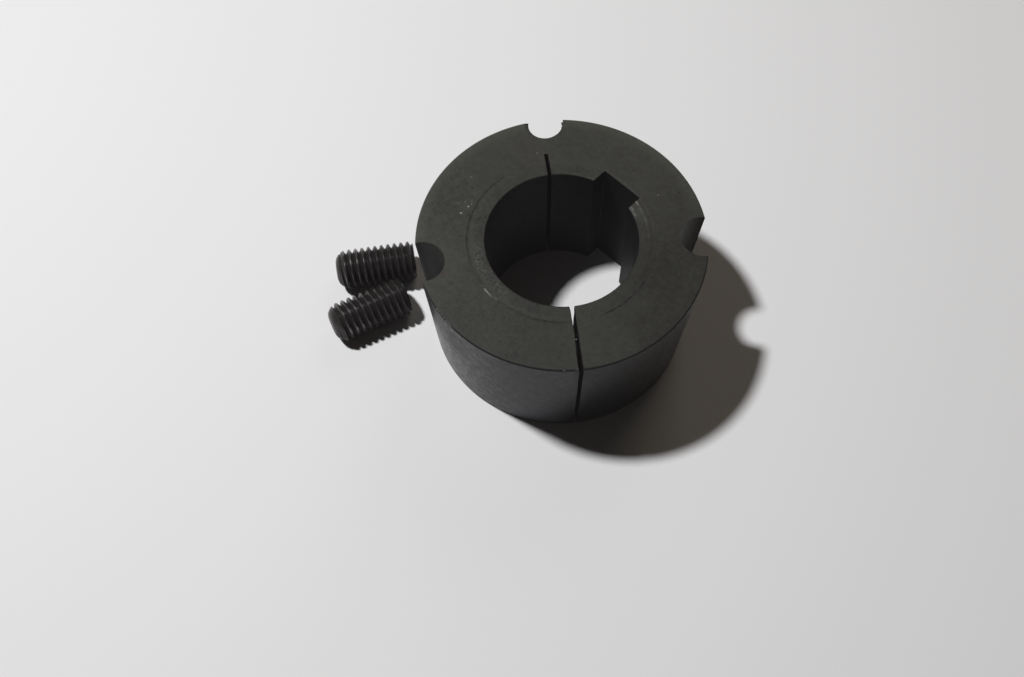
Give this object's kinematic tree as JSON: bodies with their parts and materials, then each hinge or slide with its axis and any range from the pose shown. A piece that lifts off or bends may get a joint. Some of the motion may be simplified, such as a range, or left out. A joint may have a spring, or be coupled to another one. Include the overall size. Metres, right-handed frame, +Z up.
{
  "type": "taper bush",
  "caption": "Split iron bush with a tapered outside, keyed bore and half-round screw slots, for clamping a pulley or sprocket to a shaft, shown with its set screws taken out.",
  "frame": {"origin": "on the bore's axis, in the small end's face, which the bush stands on", "axes": "+Z up the bore from the small end to the large end, +Y through the middle of the keyway"},
  "size_m": [0.1058, 0.1006, 0.0444],
  "materials": {
    "blackened_iron": "phosphated and oiled, dark grey-green, matt",
    "blackened_steel": "black oxide, oiled"
  },
  "bodies": {
    "root": {"bush": "blackened_iron", "set_screw_1": "blackened_steel", "set_screw_2": "blackened_steel"}
  },
  "joints": []
}
